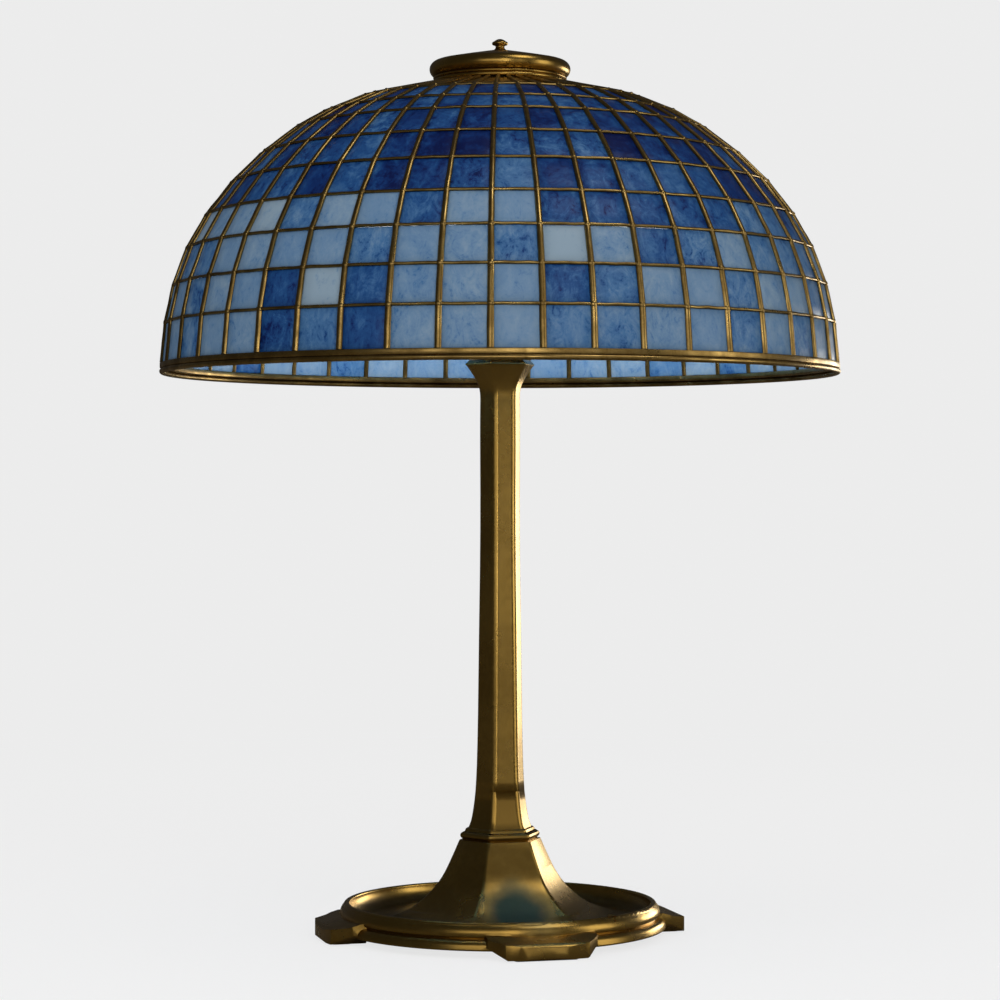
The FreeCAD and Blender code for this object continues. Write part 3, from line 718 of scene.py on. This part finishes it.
@dataclass
class Metalwork:
    """Packed metal parts that are copied with eased edges, so that they catch the light as castings do."""

    nodes: Mapping[str, bpy.types.Object]

    def ease(self, node: str, body: Body, slot: str, offset: float, sharp: float = 32.0,
             segments: int = 2, smooth: float = 30.0, ridges: float = 0.0) -> bpy.types.Object:
        """Copies a node and rounds its sharp edges.

        Args:
            node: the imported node.
            body: the body that it rides on.
            slot: its material slot.
            offset: the width of the rounding.
            sharp: the angle in degrees from which an edge is rounded.
            segments: the number of facets across the rounding.
            smooth: the angle in degrees above which an edge stays sharp.
            ridges: the width of the rounding along the ridges of the hexagon, or 0 to treat them as the rest.

        Returns:
            The piece.
        """
        bm = merged_copy(self.nodes[node])
        limit = math.radians(sharp)
        if ridges:
            along = [e for e in bm.edges if self.on_ridge(e)]
            bmesh.ops.bevel(bm, geom=along, offset=ridges, segments=4, profile=0.5, affect="EDGES",
                            material=-1, clamp_overlap=False)
        edges = [e for e in bm.edges if len(e.link_faces) == 2 and e.calc_face_angle(0.0) > limit]
        bmesh.ops.bevel(bm, geom=edges, offset=offset, segments=segments, profile=0.5, affect="EDGES",
                        material=-1, clamp_overlap=True)
        return finish_piece(bm, f"{node}_eased", slot, body, [node], smooth, recalc=False)

    @staticmethod
    def on_ridge(edge: bmesh.types.BMEdge) -> bool:
        """Whether an edge lies on a corner of the hexagonal stem, on its outside."""
        if len(edge.link_faces) != 2 or edge.calc_face_angle(0.0) < math.radians(28.0):
            return False
        middle, run = (edge.verts[0].co + edge.verts[1].co) / 2, edge.verts[1].co - edge.verts[0].co
        sixth = math.tau / 6
        off = (math.atan2(middle.x, -middle.y) + sixth) % sixth - sixth / 2
        level = abs(run.z) < 0.25 * run.length and abs(run.xy.dot(middle.xy.normalized())) < 0.6 * run.length
        faces_out = all(face.normal.xy.dot(middle.xy) > 0.0 for face in edge.link_faces)
        return abs(off) < 0.04 and not level and faces_out and middle.z > 19.0 * MM

    def corner_line(self, node: str) -> list[tuple[float, float]]:
        """The height and circumradius of a hexagonal node, read at one of its corners, from the foot up."""
        corner = math.radians(30.0)
        levels: dict[float, float] = {}
        for vert in self.nodes[node].data.vertices:
            if abs(math.atan2(vert.co.x, -vert.co.y) - corner) < 0.01:
                height = round(vert.co.z, 5)
                levels[height] = max(levels.get(height, 0.0), vert.co.xy.length)
        return sorted(levels.items())

    @staticmethod
    def rounded_hexagon(azimuth: float, circumradius: float, rounding: float) -> float:
        """The radius of a hexagon with rounded corners, at an azimuth counted from a flat's middle."""
        sixth = math.tau / 6
        off = abs((azimuth % sixth) - sixth / 2)
        middle = circumradius - rounding / math.cos(sixth / 2)
        tangent = math.atan2(rounding / 2, middle + rounding * math.cos(sixth / 2))
        if off >= tangent:
            return circumradius * math.cos(sixth / 2) / math.cos(sixth / 2 - off)
        return middle * math.cos(off) + math.sqrt(rounding ** 2 - (middle * math.sin(off)) ** 2)

    def column(self, rounding: float = 5.5 * MM, sides: int = 144) -> None:
        """The column, with the soft corners that a casting has."""
        bm = bmesh.new()
        line = self.corner_line("column")
        up, out = Vector((0.0, 0.0, 1.0)), Vector((0.0, -1.0, 0.0))
        sweep(bm, [Station(Vector((0.0, 0.0, z)), up, out, r, r) for z, r in line], sides)
        for vert in bm.verts:
            reach = vert.co.xy.length
            azimuth = math.atan2(vert.co.x, -vert.co.y)
            vert.co.xy *= self.rounded_hexagon(azimuth, reach, rounding) / reach
        finish_piece(bm, "column_eased", "antique_bronze", Body.STAND, ["column"], 50.0)

    def build(self) -> None:
        """Eases the base casting, collar, column, capital plate and rim band."""
        self.ease("base_casting", Body.STAND, "antique_bronze", 0.9 * MM, 42.0, 3, ridges=1.6 * MM)
        self.ease("column_collar", Body.STAND, "antique_bronze", 0.4 * MM, 35.0, ridges=1.6 * MM)
        self.column()
        self.ease("capital_plate", Body.STAND, "antique_bronze", 0.7 * MM, 35.0)
        self.ease("rim_band", Body.SHADE, "solder_brass", 0.5 * MM, 50.0)


@dataclass(frozen=True)
class SoftBox:
    """A rectangular light that faces the lamp.

    Attributes:
        name: the light's name.
        azimuth: its place round the lamp, in degrees from the camera's side towards the right.
        elevation: its height angle in degrees.
        distance: its distance from the point that it faces.
        size: its width and height.
        power: its power in watts.
        warmth: its colour.
        aim: the height that it faces.
        reflected: whether polished faces mirror it.
        fills: whether it lights matt faces.
    """

    name: str
    azimuth: float
    elevation: float
    distance: float
    size: tuple[float, float]
    power: float
    warmth: Colour = (1.0, 1.0, 1.0)
    aim: float = 0.3
    reflected: bool = True
    fills: bool = True


NEUTRAL: Colour = (1.0, 0.99, 0.97)
COOL: Colour = (0.95, 0.98, 1.0)
BULB_WARM: Colour = (1.0, 0.99, 0.95)
GOLDEN: Colour = (1.0, 0.95, 0.84)
AMBER: Colour = (1.0, 0.94, 0.84)
CREAM: Colour = (1.0, 0.95, 0.86)
IVORY: Colour = (1.0, 0.96, 0.90)

LIGHTS = (
    SoftBox("soft_front", 20.0, 26.0, 2.2, (1.4, 1.2), power=15.0, warmth=NEUTRAL, reflected=False),
    SoftBox("soft_left", -60.0, 30.0, 2.3, (1.4, 1.2), power=8.0, warmth=COOL, reflected=False),
    SoftBox("top", 10.0, 74.0, 2.2, (1.6, 1.6), power=9.0, reflected=False),
    SoftBox("glow_inside", 0.0, -80.0, 0.14, (0.16, 0.16), power=2.2, warmth=BULB_WARM, aim=0.50,
            reflected=False),
    SoftBox("window", 136.0, 0.0, 1.7, (0.8, 0.5), power=8.0, warmth=GOLDEN, aim=0.26, fills=False),
    SoftBox("dim_front", -14.0, 10.0, 2.4, (1.4, 0.9), power=5.0, warmth=CREAM, fills=False),
    SoftBox("side", 74.0, 8.0, 2.0, (0.8, 1.4), power=8.0, warmth=GOLDEN, fills=False),
    SoftBox("streak", 9.0, 6.0, 2.4, (0.26, 1.9), power=7.5, warmth=AMBER, fills=False),
    SoftBox("sheen", 33.0, 8.0, 2.4, (0.4, 1.6), power=1.6, warmth=CREAM, fills=False),
    SoftBox("ceiling", 50.0, 58.0, 2.4, (0.9, 0.9), power=9.0, warmth=IVORY, fills=False),
)


@dataclass
class Studio:
    """A pale floor, soft lights and the camera."""

    azimuth: float = -14.56
    distance: float = 1.959
    height: float = 0.2945
    lens: float = 104.44
    backdrop: float = 0.84
    ambient: float = 0.30
    mirrored: float = 0.045

    def camera(self) -> None:
        """A level camera to the left of the front."""
        data = bpy.data.cameras.new("camera")
        data.lens, data.sensor_width, data.clip_end = self.lens, 36.0, 50.0
        data.shift_y = -0.0028
        camera = bpy.data.objects.new("camera", data)
        turn = math.radians(self.azimuth)
        camera.location = (self.distance * math.sin(turn), -self.distance * math.cos(turn), self.height)
        camera.rotation_euler = (math.pi / 2, 0.0, turn)
        bpy.context.scene.collection.objects.link(camera)
        bpy.context.scene.camera = camera

    def light(self, box: SoftBox) -> None:
        """Hangs a soft box that faces the lamp."""
        data = bpy.data.lights.new(box.name, "AREA")
        data.shape, data.size, data.size_y = "RECTANGLE", *box.size
        data.energy, data.color = box.power, box.warmth
        turn, lift = math.radians(self.azimuth + box.azimuth), math.radians(box.elevation)
        way = Vector((math.sin(turn) * math.cos(lift), -math.cos(turn) * math.cos(lift), math.sin(lift)))
        spot = way * box.distance
        hung = bpy.data.objects.new(box.name, data)
        hung.location = spot + Vector((0.0, 0.0, box.aim))
        hung.rotation_euler = (-spot).to_track_quat("-Z", "Y").to_euler()
        hung.visible_glossy, hung.visible_diffuse = box.reflected, box.fills
        bpy.context.scene.collection.objects.link(hung)

    def world(self) -> None:
        """A pale background that lights the room only dimly."""
        world = bpy.data.worlds.new("room")
        world.use_nodes = True
        nodes, links = world.node_tree.nodes, world.node_tree.links
        nodes.clear()
        output = nodes.new("ShaderNodeOutputWorld")
        path = nodes.new("ShaderNodeLightPath")
        last = None
        levels = {None: self.ambient, "Is Glossy Ray": self.mirrored, "Is Camera Ray": self.backdrop}
        for ray, level in levels.items():
            background = nodes.new("ShaderNodeBackground")
            background.inputs[0].default_value = (level, level, level, 1.0)
            if last is None:
                last = background
                continue
            mix = nodes.new("ShaderNodeMixShader")
            links.new(path.outputs[ray], mix.inputs[0])
            links.new(last.outputs[0], mix.inputs[1])
            links.new(background.outputs[0], mix.inputs[2])
            last = mix
        links.new(last.outputs[0], output.inputs[0])
        bpy.context.scene.world = world

    def floor(self) -> None:
        """A wide floor that fades into the background."""
        bm = bmesh.new()
        bmesh.ops.create_circle(bm, cap_ends=True, segments=96, radius=30.0)
        mesh = bpy.data.meshes.new("floor")
        bm.to_mesh(mesh)
        bm.free()
        s = Shader("floor_paper")
        x, y, _ = s.axes()
        far = (x * x + y * y).maths("SQRT").span(0.35, 1.6)
        path = s.node("ShaderNodeLightPath")
        seen, mirrored = (Channel(s, path.outputs[f"Is {ray} Ray"]) for ray in ("Camera", "Glossy"))
        tint = s.mix(mirrored, (0.82,) * 3, (0.16, 0.14, 0.11))
        paper = s.node("ShaderNodeBsdfDiffuse", None, {"Color": tint})
        white = (self.backdrop,) * 3 + (1.0,)
        glow = s.node("ShaderNodeEmission", None, {"Color": white, "Strength": 1.15 - far * 0.15})
        share = (0.78 + far * 0.22) * seen + 0.25 * (1.0 - seen) * (1.0 - mirrored)
        mix = s.node("ShaderNodeMixShader", None, {0: share, 1: paper.outputs[0], 2: glow.outputs[0]})
        s.tree.links.new(mix.outputs[0], s.output.inputs["Surface"])
        mesh.materials.append(s.material)
        floor = bpy.data.objects.new("floor", mesh)
        bpy.context.scene.collection.objects.link(floor)

    def build(self) -> None:
        """Sets the scene."""
        bpy.context.scene.view_settings.view_transform = "Standard"
        self.camera()
        self.world()
        self.floor()
        for box in LIGHTS:
            self.light(box)


def dress_packed(frame: Mapping[str, Any]) -> None:
    """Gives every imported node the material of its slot."""
    for part in frame["record"]["subparts"]:
        node = frame["nodes"][part["node"]]
        node.data.materials.clear()
        node.data.materials.append(Paint.of(part["material_slot"]))


def main() -> None:
    """Builds the lamp around the frame."""
    logging.basicConfig(level=logging.INFO, format="%(name)s: %(message)s")
    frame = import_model()
    Studio().build()
    dress_packed(frame)
    dome = Dome(frame["nodes"])
    LOG.info("dome line: %s", [(round(p.x, 4), round(p.z, 4)) for p in dome.line])
    Metalwork(frame["nodes"]).build()
    Lattice(dome).build()
    Glazing(dome).build()


if __name__ == "__main__":
    main()
